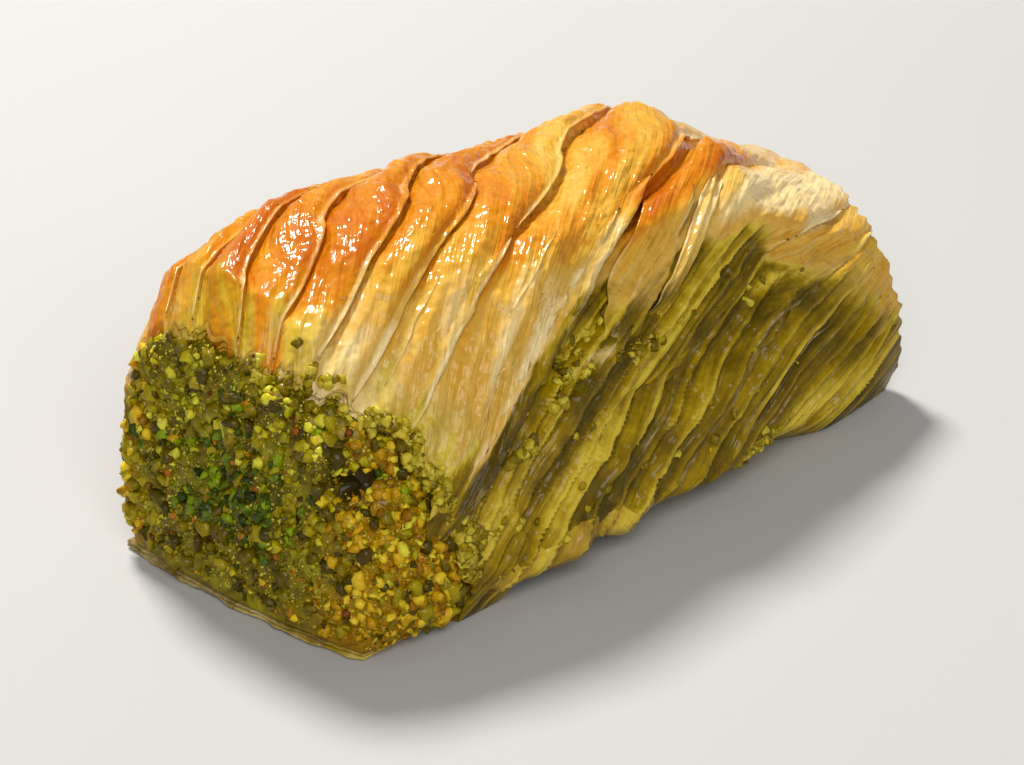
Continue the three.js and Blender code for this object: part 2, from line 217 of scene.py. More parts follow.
# Fine relief that only the dressed piece has
fine = {
    "streakLean": 0.22,  # how far the wrinkles lean from the creases, mm per degree
    "sideLean": 0.3,  # the same in the pale part of the side, up to the flap
    "fibreDepth": 0.13,  # long wrinkles that follow the leaf
    "fibreSpacing": 1.2,
    "crinkle": 0.42,  # sharp little folds between the pleats
    "swell": 0.42,  # uneven swells
    "blister": 0.14,  # small bubbles in the baked leaf
    "blisterSize": 1.25,
    "foldStep": 0.3,  # leaf edges pressed down inside each pleat
    "foldPlaces": (0.3, 0.52, 0.76),
    "nutBumps": 0.26,  # nuts that show through the wet leaf low on the side
    "foldWidth": 2.7,  # long parallel folds of the wet leaf
    "foldDepth": 0.75,
    "goldCalm": 0.62,  # how much smoother the baked leaf is
    "keepOver": 0.5,  # mm of leaf kept over the nuts in the valleys
    "lump": (38, 6.5, 70, 15),  # broad pale fold: crease line and reach, angle and reach
    "calmLump": 0.75,  # how far the pleats fade on it
    "calmEnd": 0.7,  # and towards the far edge
}


def streakLine(s, angle):
    # the leaf's own wrinkles run a little flatter than the creases near the crest
    side = fine["sideLean"] * (np.clip(angle, 26, 54) - 54) * (s < pleats["flapCrease"] + 3)
    return s + side + fine["streakLean"] * (np.clip(angle, 54, 132) - 90)


def nuttyBumps(s, x, angle):
    # soft lumps of nut under the wet leaf
    arc = angle * arcPerDegree
    broad = ease(noise(x / 2.6 + 4, arc / 2.6, 13, 2), 0.35, 0.75) - 0.5
    small = ease(noise(x / 1.05 + 9, arc / 1.05, 15, 2), 0.3, 0.85) - 0.4
    return (broad + 0.65 * small) * wetShare(s, angle) * (1 - 0.6 * windowed(s, 54, 90, 3))


def sideFolds(s, angle):
    # long folds of wet leaf that run with the creases: their height, and how light each one is, with a painted
    # highlight high on each fold and painted shade in the groove at its foot
    arc = angle * arcPerDegree
    sway = 1.6 * softNoise(s / 5.0 + 3, arc / 22.0, 19) + 0.8 * softNoise(s / 3.0, arc / 5.0, 25)
    line = (s + sway) / fine["foldWidth"]
    index = np.floor(line)
    across = line - index
    strength = 0.3 + 0.9 * softNoise(index * 3.7 + 0.5, arc / 8.0, 27)
    height = (across ** 1.3 * (1 - ease(across, 0.84, 1.0)) - 0.35) * strength
    light = 0.9 * (softNoise(index * 5.3 + 0.5, arc / 9.0, 31) - 0.5)
    # painted highlight near the top of each fold, painted shade in the groove at the foot of its step
    light += 0.35 * windowed(across, 0.68, 0.9, 0.08) * strength - 0.3 * (1 - ease(across, 0.0, 0.25))
    shown = wetShare(s, angle)
    return height * shown, light * shown


def fineRelief(s, x, angle):
    arc = angle * arcPerDegree
    q = streakLine(s, angle)
    flank = 1 - windowed(angle, 60, 122, 10)
    loose = 1 - fine["goldCalm"] * np.maximum(goldShare(s, angle), windowed(angle, 54, 120, 6))
    wet = wetShare(s, angle)
    fibre = softNoise(q / fine["fibreSpacing"], arc / 14.0, 3) - 0.5
    fibre += 0.6 * (softNoise(q / (0.45 * fine["fibreSpacing"]), arc / 8.0, 5) - 0.5)
    crinkle = noise(q / 3.1 + 5, arc / 5.2 + 0.3 * q / 3.1, 17, 2)
    crinkle = (1 - np.abs(2 * crinkle - 1)) ** 3 - 0.3
    swell = noise(q / 4.5 + 3, arc / 5.5, 7) - 0.5
    bubble = ease(noise(x / fine["blisterSize"], arc / fine["blisterSize"], 11, 2), 0.5, 0.8)
    i, w, _ = pleatPlace(s)
    fold = 0.0
    for k, place in enumerate(fine["foldPlaces"]):
        edge = place + 0.12 * np.sin(i * 1.9 + k * 2.1 + arc * 0.12)
        fold += ease(w, edge - 0.02, edge + 0.005) * (0.5 + 0.5 * np.sin(i * 3.1 + k * 1.3))
    height = 2 * fine["fibreDepth"] * fibre * (0.8 + 0.4 * flank - 0.7 * wet)
    height += fine["crinkle"] * crinkle * loose * (1 - 0.6 * wet)
    height += 2 * fine["swell"] * swell * (0.4 + 0.6 * loose) + fine["blister"] * bubble
    height += fine["nutBumps"] * nuttyBumps(s, x, angle) + fine["foldDepth"] * sideFolds(s, angle)[0]
    return height - fine["foldStep"] * (fold - w) * (0.4 + 0.6 * loose)


# Where the leaf is baked gold, pale and dry, or wet and green, by crease line and angle
zones = {
    "goldKeys": [-60, -40, -12, 0, 12, 20, 26, 31, 36, 42],
    "goldFrom": [92, 84, 68, 58, 56, 60, 61, 66, 80, 130],
    "wetKeys": [-40, -12, 0, 10, 18, 20.5, 22.5, 31, 34, 38, 45, 52, 60, 70],
    "wetUpTo": [60, 50, 38, 31, 25, 27, 52, 51, 56, 53, 46, 39, 34, 28],
    "farGold": (112.0, 130.0),
    "farWet": (134.0, 148.0),
    "warp": 22,  # degrees that the borders wander
}

# Single places that differ: crease line, angle, reach in both, then browner, paler, wetter, lighter where wet
places = {
    "hood": (-30, 92, 12, 16, 0.22, 0, 0, 0),
    "dome": (12, 88, 7, 14, -0.16, 0.1, 0, 0),
    # underFlapShade is painted shade: browner and less pale in the recess under the flap's edge
    "underFlapShade": (22.5, 71, 2.4, 6, 0.32, -0.3, 0, 0),
    "goldStrip": (35.5, 57, 2.2, 7, 0.12, -0.05, -0.7, 0.2),
    # creamLumpAndHighlight: the fold's own cream colour, made paler still as a painted highlight
    "creamLumpAndHighlight": (38.2, 65, 4.6, 10, -0.3, 0.95, -0.8, 0),
    "yellowPanel": (43.6, 64, 2.6, 9, 0.22, -0.35, -0.8, 0),
    "creamTip": (48.5, 52, 3.4, 7, 0, 0.45, -0.9, 0.2),
    "yellowEnd": (55.5, 52, 8.5, 13, 0.1, -0.9, 0.56, 0.8),
    "farFold": (45, 88, 7, 16, 0.12, 0.35, 0, 0),
    "greenHollow": (42.5, 44, 6, 9, 0, -0.4, 0.4, 0.2),
    "lightFold": (42, 34.5, 2.0, 4, 0, 0, 0.2, 0.35),
    "smallGlint": (49.6, 37.5, 1.5, 2.6, -0.1, 0.3, 0, 0.5),
    "greenPatch": (31.6, 41, 2.4, 3.4, 0, -0.4, 0.5, -0.1),
    "whiteGlint": (31.8, 35.4, 2.0, 2.2, -0.2, 0.7, -0.2, 0.5),
    "crumbBed": (26, 36, 3.4, 9, 0, -0.3, 0.5, 0.34),
    "lowerSide": (30, 14, 8, 8, 0, 0.1, -0.2, 0.3),
    "middleSide": (47, 22, 7, 6, 0, 0, 0, 0.2),
    "farSide": (66, 22, 7, 12, 0.1, 0, 0, -0.2),
    "farFoot": (72, 9, 6, 6, 0.3, 0.1, -0.3, 0.1),
}


def placeShare(s, angle, column):
    total = 0.0
    bend = 5 * (noise(s / 3.0, angle * arcPerDegree / 3.0, 57, 2) - 0.5)
    for spot in places.values():
        if spot[column]:
            far = ((s + 0.6 * bend - spot[0]) / spot[2]) ** 2 + ((angle + bend - spot[1]) / spot[3]) ** 2
            total += spot[column] * np.exp(-far)
    return total


def zoneWarp(s, angle, seed):
    return zones["warp"] * (noise(s / 3.4, angle * arcPerDegree / 6.5, seed) - 0.5)


def goldShare(s, angle):
    start = np.interp(s, zones["goldKeys"], zones["goldFrom"])
    a = angle + zoneWarp(s, angle, 51)
    return ease(a, start - 7, start + 9) * (1 - ease(a, *zones["farGold"]))


def wetShare(s, angle):
    end = np.interp(s, zones["wetKeys"], zones["wetUpTo"])
    calmer = ease(s, 33, 44)
    softer = 5 * ease(s, 49, 57)
    a = angle + 0.8 * zoneWarp(s, angle, 61) * (1 - 0.5 * calmer)
    near = 1 - ease(a, end - 4 - softer, end + 3 + softer)
    return np.maximum(near, ease(a, *zones["farWet"]))


def surfaceHeight(x, angle, detail=1.0, sheetLine=None):
    # relief of the filo over the smooth section, of another crease line where sheetLine is given
    used = creaseLine(x, angle) if sheetLine is None else sheetLine
    deepest = coverThickness(x - mouthAt(angle)) - fine["keepOver"]
    lineAt, lineReach, angleAt, angleReach = fine["lump"]
    lump = np.exp(-((used - lineAt) / lineReach) ** 2 - ((angle - angleAt) / angleReach) ** 2)
    calm = (1 - fine["calmEnd"] * ease(x, 26, 33)) * (1 - fine["calmLump"] * lump)
    small = detail * (1 - 0.6 * lump) * (1 - 0.85 * ease(x, 26, 32)) * fineRelief(used, x, angle)
    over = calm * pleatRelief(used, x, angle) + small + 0.5 * lump + deepest
    eased = 0.5 * (over + np.sqrt(over ** 2 + 0.1))
    return eased - deepest + 0.4 * small * (1 - ease(over, -0.5, 0.4))


def placeOnRoll(x, angle, height):
    # point at a height over the smooth section, and its outward direction in the section
    y, z = sectionPoint(x, angle)
    normal = sectionNormal(x, np.maximum(angle - 1, 0), np.minimum(angle + 1, 180))
    points = np.stack([x + 0 * y, y, z], -1) + normal * (height * unit(z / 4))[..., None]
    points[..., 2] = np.maximum(points[..., 2], 0)
    return points, normal


def rollPoint(x, angle, lift=0.0):
    # a point of the filo's outer surface raised by lift
    return placeOnRoll(x, angle, surfaceHeight(x, angle) + lift)


def addObject(name, data):
    obj = bpy.data.objects.new(name, data)
    bpy.context.scene.collection.objects.link(obj)
    return obj


def addSmooth(name, mesh):
    mesh.polygons.foreach_set("use_smooth", [True] * len(mesh.polygons))
    mesh.update()
    return addObject(name, mesh)


def meshPiece(name, points, faces, material, attributes):
    # one mesh object at the origin, its points given in mm on the roll's own axes
    mesh = bpy.data.meshes.new(name)
    mesh.from_pydata(((points + roll["centring"]) * mm).tolist(), [], faces)
    for key, values in attributes.items():
        kind, field = ("FLOAT_VECTOR", "vector") if values.ndim > 1 else ("FLOAT", "value")
        mesh.attributes.new(key, kind, "POINT").data.foreach_set(field, values.reshape(-1))
    mesh.materials.append(material)
    return addSmooth(name, mesh)


def gridFaces(rows, columns, start=0, closed=False, flip=False):
    row = np.arange(rows - 1)[:, None] * columns
    column = np.arange(columns if closed else columns - 1)[None, :]
    following = (column + 1) % columns
    corners = [row + column, row + following, row + columns + following, row + columns + column]
    if flip:
        corners = [corners[k] for k in (0, 3, 2, 1)]
    return (np.stack(corners, -1).reshape(-1, 4) + start).tolist()


def attach(obj, node):
    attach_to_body(obj, "root")
    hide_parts(node)
    pieces.append(obj)


# Node building helpers: a value is a number or the socket it comes from
def fillInputs(tree, node, inputs):
    for key, value in inputs.items():
        if isinstance(value, bpy.types.NodeSocket):
            tree.links.new(value, node.inputs[key])
        else:
            node.inputs[key].default_value = value
    return node


def addNode(tree, kind, inputs=None, **settings):
    node = tree.nodes.new(kind)
    for key, value in settings.items():
        setattr(node, key, value)
    return fillInputs(tree, node, inputs or {})


def socketOf(tree, kind, output, inputs=None, **settings):
    return addNode(tree, kind, inputs, **settings).outputs[output]


def newMaterial(name):
    # material, its node tree, its shader and the object's own coordinates
    material = bpy.data.materials.new(name)
    material.use_nodes = True
    tree = material.node_tree
    tree.nodes.clear()
    shader = tree.nodes.new("ShaderNodeBsdfPrincipled")
    addNode(tree, "ShaderNodeOutputMaterial", {"Surface": shader.outputs["BSDF"]})
    return material, tree, shader, socketOf(tree, "ShaderNodeTexCoord", "Object")


def attributeOf(tree, name, output="Fac"):
    return socketOf(tree, "ShaderNodeAttribute", output, attribute_name=name)


def noiseOf(tree, vector, scale, detail, roughness):
    inputs = {"Vector": vector, "Scale": scale, "Detail": detail, "Roughness": roughness}
    return socketOf(tree, "ShaderNodeTexNoise", "Fac", inputs)


def rampOf(tree, value, stops):
    node = addNode(tree, "ShaderNodeValToRGB", {"Fac": value})
    elements = node.color_ramp.elements
    while len(elements) < len(stops):
        elements.new(0.5)
    for element, (place, colour) in zip(elements, stops):
        element.position = place
        element.color = (*colour, 1)
    return node.outputs["Color"]


def rangeOf(tree, value, fromMin, fromMax, toMin=0.0, toMax=1.0):
    inputs = dict(enumerate((value, fromMin, fromMax, toMin, toMax)))
    return socketOf(tree, "ShaderNodeMapRange", 0, inputs, interpolation_type="SMOOTHSTEP")


def mixColour(tree, share, first, colour):
    return socketOf(tree, "ShaderNodeMix", 2, {0: share, 6: first, 7: colour}, data_type="RGBA")


def calc(tree, operation, first, second):
    return socketOf(tree, "ShaderNodeMath", 0, {0: first, 1: second}, operation=operation)


def shaken(tree, value, *fields):
    # the value with noise fields added, each about zero and times its share
    for field, share in fields:
        value = calc(tree, "ADD", value, calc(tree, "MULTIPLY", calc(tree, "SUBTRACT", field, 0.5), share))
    return value


def bumpOf(tree, height, strength, distance):
    inputs = {"Strength": strength, "Distance": distance, "Height": height}
    return socketOf(tree, "ShaderNodeBump", "Normal", inputs)


def srgb(red, green, blue):
    # colour as seen on a screen, 0 to 255, as the linear value shaders use
    return tuple(((c / 255 + 0.055) / 1.055) ** 2.4 if c > 10 else c / 255 / 12.92 for c in (red, green, blue))


filoLook = {
    "crust": [(0.02, srgb(222, 180, 88)), (0.3, srgb(214, 160, 50)), (0.6, srgb(208, 130, 14)),
              (0.98, srgb(188, 94, 0))],
    "wetLeaf": [(0.08, srgb(76, 62, 0)), (0.4, srgb(120, 96, 0)), (0.66, srgb(162, 132, 0)),
                (0.98, srgb(210, 184, 56))],
    "driedEdge": (*srgb(242, 214, 152), 1),
    "speck": (*srgb(110, 56, 6), 1),
    "syrupCoat": (0.62, 0.42),  # dry gold leaf, wet leaf
}


def makeFiloMaterial():
    material, tree, shader, place = newMaterial("filo")
    along = attributeOf(tree, "alongPleat", "Vector")
    wet = attributeOf(tree, "wet")
    streak = noiseOf(tree, along, 1.0, 5, 0.62)
    streakFine = noiseOf(tree, along, 2.7, 4, 0.65)
    mottle = noiseOf(tree, place, 330, 5, 0.62)
    speck = noiseOf(tree, place, 950, 2, 0.5)
    crumple = noiseOf(tree, place, 1250, 4, 0.6)
    blotch = noiseOf(tree, place, 760, 5, 0.62)
    # browningAndShade holds the baked browning together with painted shade in the crease valleys and under the flap
    toastAndShade = shaken(tree, attributeOf(tree, "browningAndShade"), (streak, 0.75), (mottle, 0.5), (crumple, 0.5))
    tone = shaken(tree, attributeOf(tree, "wetTone"), (streakFine, 0.6), (blotch, 0.5), (streak, 0.45), (mottle, 0.3))
    wetNow = rangeOf(tree, shaken(tree, wet, (streakFine, 0.5), (mottle, 0.45)), 0.24, 0.76)
    dry = shaken(tree, attributeOf(tree, "pale"), (mottle, 0.9), (streakFine, 0.5), (crumple, 0.4))
    colour = mixColour(tree, wetNow, rampOf(tree, toastAndShade, filoLook["crust"]), rampOf(tree, tone, filoLook["wetLeaf"]))
    colour = mixColour(tree, rangeOf(tree, dry, 0.3, 0.95, 0.0, 0.9), colour, filoLook["driedEdge"])
    colour = mixColour(tree, rangeOf(tree, speck, 0.7, 0.8, 0.0, 0.45), colour, filoLook["speck"])
    facets = calc(tree, "MULTIPLY", noiseOf(tree, place, 820, 1.0, 0.5), 1.6)
    wrinkles = calc(tree, "MULTIPLY", noiseOf(tree, along, 2.2, 1.5, 0.5), 1.1)
    normal = bumpOf(tree, calc(tree, "ADD", wrinkles, facets), 0.7, 0.0003)
    fillInputs(tree, shader, {
        "Base Color": colour,
        "Roughness": rangeOf(tree, mottle, 0.3, 0.7, 0.3, 0.55),
        "Specular IOR Level": 0.07,
        "Normal": normal, "Coat Normal": normal,
        "Coat Weight": rangeOf(tree, wet, 0, 1, *filoLook["syrupCoat"]),
        "Coat Roughness": 0.05, "Coat IOR": 1.4,
        "Subsurface Weight": 0.1, "Subsurface Radius": (1.0, 0.7, 0.25), "Subsurface Scale": 0.0015,
    })
    return material


def filoAttributes(x, angle, browner=0.0, paler=0.0):
    # browning with painted shade in the crease valleys and under the flap, wetness and paleness of the leaf, how light
    # it is where wet with painted highlight and shade on the side folds, and a vector that runs along it
    s = creaseLine(x, angle)
    q = streakLine(s, angle)
    arc = angle * arcPerDegree
    i, w, _ = pleatPlace(s)
    gold, wet = goldShare(s, angle), wetShare(s, angle)
    middle = (1 - gold) * (1 - wet)
    patch = noise(q / 5.0, arc / 9.0, 21) - 0.5
    fold = noise(i * 3.7, arc / 14.0, 23, 1) - 0.5
    farEnd = ease(x, 14, 27)
    # browner either side of each crease: partly browned leaf edges, partly painted shade in the crease valley
    edge = np.exp(-((w - 0.9) / 0.1) ** 2) + 0.9 * np.exp(-((w - 0.03) / 0.07) ** 2)
    brown = gold * (0.5 + patch + 0.4 * fold + 0.2 * edge - 0.3 * farEnd)
    brown += 0.2 * middle + browner + placeShare(s, angle, 4)
    pale = middle * (0.36 + 1.5 * (noise(q / 2.6, arc / 9.0, 41) - 0.5))
    pale += 0.4 * farEnd * windowed(angle, 55, 118, 12)
    pale += 0.3 * np.exp(-((w - 0.97) / 0.05) ** 2) * (1 - 0.6 * wet) + placeShare(s, angle, 5)
    wet += placeShare(s, angle, 6)
    tone = 0.38 + 0.15 * nuttyBumps(s, x, angle) + sideFolds(s, angle)[1] + placeShare(s, angle, 7)
    tone += 0.6 * (noise(s / 3.2, arc / 9.0, 43, 2) - 0.5)
    border = unit(wet)
    tone += 1.1 * border * (1 - border)
    rim = (1 - ease(x - mouthAt(angle), 1.5, 8.0)) * windowed(angle, 22, 112, 10)
    rim = rim * ease(noise(q / 2.6, arc / 5.0, 47, 2), 0.25, 0.6)
    lowSide = windowed(s, -22, 19, 4) * windowed(angle, 24, 56, 9) * noise(q / 2.2, arc / 6.0, 49, 2)
    return {
        "wetTone": unit(tone + 0.4 * rim + 0.35 * lowSide),
        "browningAndShade": unit(brown - 0.4 * rim),
        "wet": unit(wet + 0.55 * rim + 0.45 * lowSide),
        "pale": unit(pale + 0.1 * rim + paler),
        "alongPleat": np.stack([q / 1.3, arc / 11.0 + 0 * s, 0 * s], -1),
    }


wrapShape = {"along": 262, "round": 300, "under": 16, "rimRows": 7, "innerRows": 8, "layering": 0.16}


def makeFiloWrap(material):
    # closed shell: outer skin, layered rim at the mouth, inner wall, layered rim at the tail
    angles = np.linspace(0, 180, wrapShape["round"])
    rimRows, underCount = wrapShape["rimRows"], wrapShape["under"]
    t = np.linspace(0, 1, underCount + 2)[1:-1, None]
    rings, marks = [], {}

    def addRing(x, inset=None, browner=0.0):
        ringX = x + 0 * angles
        if inset is None:
            arch, _ = rollPoint(ringX, angles)
        else:
            arch = np.stack([ringX, *sectionPoint(ringX, angles, inset, np.minimum(inset, cover["base"]))], -1)
        rings.append(np.concatenate([arch, arch[-1] * (1 - t) + arch[0] * t]))
        for key, values in filoAttributes(ringX, angles, browner).items():
            marks.setdefault(key, []).append(np.concatenate([values, np.repeat(values[-1:], underCount, axis=0)]))

    def layerStep(k):
        return wrapShape["layering"] * (1 if k % 2 else -1)

    mouth, tail = mouthAt(angles), tailAt(angles)
    for u in np.linspace(0, 1, wrapShape["along"]):
        addRing(mouth * (1 - u) + tail * u)
    depthIn = coverThickness(8.0) - 0.25
    rimDepth = cover["rimThickness"] - 0.2
    for k in range(1, rimRows + 1):
        step = layerStep(k) + 0.25 * ripple(angles * 0.8, k * 2.0)
        addRing(tail + 0.3 * step - 0.25 * (k / rimRows), k / rimRows * depthIn)
    for u in np.linspace(0, 1, wrapShape["innerRows"])[1:-1]:
        addRing((tail - 0.3) * (1 - u) + (mouth + 1.0) * u, depthIn * (1 - u) + rimDepth * u)
    for k in range(rimRows, 0, -1):
        step = layerStep(k) + 0.3 * ripple(angles * 0.9, k * 2.3)
        addRing(mouth + 0.45 * (k / rimRows) - step * 0.8, k / rimRows * rimDepth, -0.2)
    columns = len(angles) + underCount
    last = (len(rings) - 1) * columns
    faces = gridFaces(len(rings), columns, closed=True)
    for c in range(columns):
        n = (c + 1) % columns
        faces.append((last + c, last + n, n, c))
    attributes = {key: np.concatenate(values) for key, values in marks.items()}
    return meshPiece("filoWrap", np.concatenate(rings), faces, material, attributes)


def sheetPiece(top, thickness, normals, attributes, flip=False):
    # thin closed sheet from a grid of points: top, underside and its four edges
    rows, columns = top.shape[:2]
    size = rows * columns
    points = np.concatenate([top.reshape(-1, 3), (top - normals * thickness).reshape(-1, 3)])
    faces = gridFaces(rows, columns) + gridFaces(rows, columns, start=size, flip=True)
    loop = list(range(columns))
    loop += [r * columns + columns - 1 for r in range(1, rows)]
    loop += [(rows - 1) * columns + c for c in range(columns - 2, -1, -1)]
    loop += [r * columns for r in range(rows - 2, 0, -1)]
    faces += [(b, a, a + size, b + size) for a, b in zip(loop, loop[1:] + loop[:1])]
    doubled = {key: np.concatenate([v.reshape(-1, *v.shape[2:])] * 2) for key, v in attributes.items()}
    return points, np.array(faces)[:, ::-1 if flip else 1], doubled


def joinSheets(name, sheets, material):
    faces, marks, start = [], {}, 0
    for points, sheetFaces, sheetMarks in sheets:
        faces += (np.array(sheetFaces) + start).tolist()
        for key, values in sheetMarks.items():
            marks.setdefault(key, []).append(values)
        start += len(points)
    joined = {key: np.concatenate(values) for key, values in marks.items()}
    return meshPiece(name, np.concatenate([sheet[0] for sheet in sheets]), faces, material, joined)


# Loose edges of leaf lying along the creases, and smaller ones inside the pleats
leaves = {
    "thickness": 0.2, "ragged": 0.5,
    "stepAlong": 0.45, "across": 9,  # mm between rows of points, and points in a row
    "width": 3.0, "overhang": 0.4, "lift": 0.2,
    "smallWidth": 1.7, "smallOverhang": 0.25, "smallLift": 0.16,
}


def creaseLeaf(crease, fromAngle, toAngle, width, overhang, lift, seed, hold=0.12, paler=0.0, spread=0.0):
    # strip of leaf whose free edge stands over the valley past a crease, at the height it has hold mm before it,
    # and reaches further by spread mm a degree towards the foot
    count = max(int((toAngle - fromAngle) * arcPerDegree / leaves["stepAlong"]), 4)
    angles = np.linspace(fromAngle, toAngle, count)[:, None]
    arc = angles * arcPerDegree
    t = np.linspace(0, 1, leaves["across"])[None, :] ** 0.8
    ends = unit(np.minimum(angles - fromAngle, toAngle - angles) / 7.0) ** 0.6
    torn = 1 - 0.8 * windowed(angles, 58, 120, 8)
    ragged = leaves["ragged"] * torn * (2 * noise(arc / 1.6, seed, 71, 2) - 1)
    notch = ease(noise(arc / 3.0, seed * 1.7, 77, 2), 0.6, 0.75) * torn
    reach = overhang + spread * np.clip(toAngle - angles, 0, 34)
    over = (reach + ragged - 0.8 * notch * overhang) * ends - 0.3 * (1 - ends)
    s = crease - width * ends * (1 - t) + over * t
    x = creaseX(s, angles)
    wave = 0.7 + 0.6 * noise(arc / 3.5, seed, 73, 2)
    raised = 0.06 + lift * ends * t ** 2.2 * wave * (0.35 + 0.65 * torn) - 0.16 * (1 - t)
    held = surfaceHeight(x, angles, sheetLine=np.minimum(s, crease - hold)) + raised
    clear = surfaceHeight(x, angles) - 0.1 + 0.16 * t
    top, normal = placeOnRoll(x, angles, np.maximum(held, clear))
    marks = filoAttributes(x, angles, -0.25 * t ** 3, paler + 0.4 * t ** 6)
    return sheetPiece(top, leaves["thickness"], normal, marks)


def bandLeaf(path, seed, browner, paler, wetter):
    # narrow leaf with both long edges free and both ends tucked in;
    # path rows are crease line, angle, half width and lift, from its top to its foot
    path = np.array(path, float)
    v = np.linspace(0, 1, 60)[:, None]
    u = np.linspace(-1, 1, 23)[None, :]
    line, angle, half, lift = (np.interp(v, np.linspace(0, 1, len(path)), path[:, k]) for k in range(4))
    edge = 0.5 * (noise(v * 7 + seed, np.sign(u), 131) - 0.5)
    s = line + u * (half + edge)
    x = creaseX(s, angle)
    folds = 0.11 * np.sin(u * 6 + seed + 1.2 * v)
    surface = surfaceHeight(x, angle)
    held = surfaceHeight(x, angle, 0.3, sheetLine=line - 0.5 + 0 * s) + lift * (1 - 0.35 * u ** 4) + folds
    torn = 0.12 * (noise(u * 2 + seed, 4, 133, 2) - 0.5)
    shown = ease(v + torn, 0.02, 0.22) * (1 - ease(v + torn, 0.86, 0.99))
    height = np.maximum(held, surface + 0.05) * shown + (surface - 0.4) * (1 - shown)
    top, normal = placeOnRoll(x, angle, height)
    marks = filoAttributes(x, angle, browner, paler + 0.35 * np.abs(u) ** 8)
    own = ease(v, 0.05, 0.45)
    foot = ease(v, 0.6, 1.0)
    marks["wet"] = unit(marks["wet"] * (1 - 0.7 * own) + wetter * own + 0.5 * foot)
    marks["wetTone"] = unit(marks["wetTone"] + 0.4 * foot)
    return sheetPiece(top, leaves["thickness"], normal, marks)


def coveredAngles(crease, span):
    # the part of span where the crease line lies on the filo, clear of both open edges
    x = creaseX(crease, span)
    return span[(x > mouthAt(span) + 0.6) & (x < tailAt(span) - 0.7)]


def makeCreaseLeaves(material):
    random = np.random.default_rng(311)
    creases = pleats["creases"]
    sheets = []
    for k, crease in enumerate(creases):
        inside = coveredAngles(crease, np.linspace(4, 176, 345))
        if len(inside) < 20:
            continue
        cuts = [inside[0]]
        while cuts[-1] < inside[-1] - 14:
            cuts.append(min(cuts[-1] + random.uniform(26, 60), inside[-1]))
        for a, b in zip(cuts[:-1], cuts[1:]):
            if b - a < 9 or (crease in (31, 38) and a < 92 and b > 52):
                continue
            wet = float(wetShare(np.array([crease]), np.array([(a + b) / 2]))[0])
            width = leaves["width"] * random.uniform(0.7, 1.2)
            over = leaves["overhang"] * random.uniform(0.5, 1.5)
            lift = leaves["lift"] * random.uniform(0.4, 1.5) * (1 + 0.5 * wet)
            hold = (crease - creases[max(k - 1, 0)]) * random.uniform(0.02, 0.06)
            paler = 0.1 * random.random()
            sheets.append(creaseLeaf(crease, a, b - 1.5, width, over, lift, k + a * 0.13, hold, paler))
    for k, crease in enumerate(creases[:-1]):
        for share in (0.34, 0.66):
            at = crease + (creases[k + 1] - crease) * (share + random.uniform(-0.08, 0.08))
            inside = coveredAngles(at, np.linspace(6, 172, 333))
            if len(inside) < 30:
                continue
            for _ in range(2):
                length = random.uniform(14, 38)
                a = random.uniform(inside[0], max(inside[-1] - length, inside[0] + 1))
                b = min(a + length, inside[-1])
                if b - a < 10 or (b > 66 and a < 112) or (30 < at < 45 and b > 52 and a < 92):
                    continue
                over = leaves["smallOverhang"] * random.uniform(0.4, 1.4)
                seed = k * 3.1 + a * 0.2
                sheets.append(creaseLeaf(at, a, b, leaves["smallWidth"], over, leaves["smallLift"], seed))
    return joinSheets("filoLeaves", sheets, material)


# The torn flap on the near side, whose edge stands over the nuts: numbers as creaseLeaf takes them
flapLeaves = [
    (pleats["flapCrease"], 16.0, 75.0, 6.5, 0.7, 0.7, 4.2, 1.2, 0.1, 0.075),
    (pleats["flapCrease"] - 1.4, 24, 68, 3.4, 0.4, 0.12, 9.4, 0.9, 0.2, 0.05),
    (53.0, 24, 54, 4.6, 0.7, 0.6, 5.9, 0.8, 0.2),
]
# Bands of leaf that lie beside it: path, then seed, browner, paler and wetter
bands = {
    "greenBand": ([(23.0, 57, 1.6, 0.15), (24.8, 50, 2.1, 0.35), (26.6, 44, 2.3, 0.4), (28.6, 38, 1.9, 0.3)],
                  5.1, 0.0, 0.1, 0.55),
    "beigeBand": ([(22.2, 76, 2.2, 0.1), (26.0, 64, 3.1, 0.35), (28.7, 54, 3.6, 0.5), (31.4, 45, 2.8, 0.45),
                   (34.4, 35, 1.5, 0.25)], 2.3, 0.05, 0.0, 0.1),
    "thinBand": ([(29.4, 72, 0.9, 0.3), (32.0, 61, 1.0, 0.8), (33.9, 52, 1.0, 0.9), (35.0, 45, 0.9, 0.8),
                  (36.0, 39, 0.7, 0.5)], 7.7, 0.0, 0.3, 0.15),
    "hollowBand": ([(41.0, 45, 1.0, 0.15), (42.0, 39, 1.3, 0.45), (42.2, 32, 1.4, 0.4), (42.4, 24, 1.2, 0.2)],
                   3.9, 0.0, 0.0, 0.7),
}


def makeTornFlap(material):
    flap, under, last = (creaseLeaf(*leaf) for leaf in flapLeaves)
    return joinSheets("tornFlap", [flap, under, *(bandLeaf(*band) for band in bands.values()), last], material)


# Leaves that end round the open edges, one under the other
rims = {"layers": 6, "reach": 0.75, "ragged": 0.7, "inside": 2.2, "thickness": 0.17, "wave": 0.16}


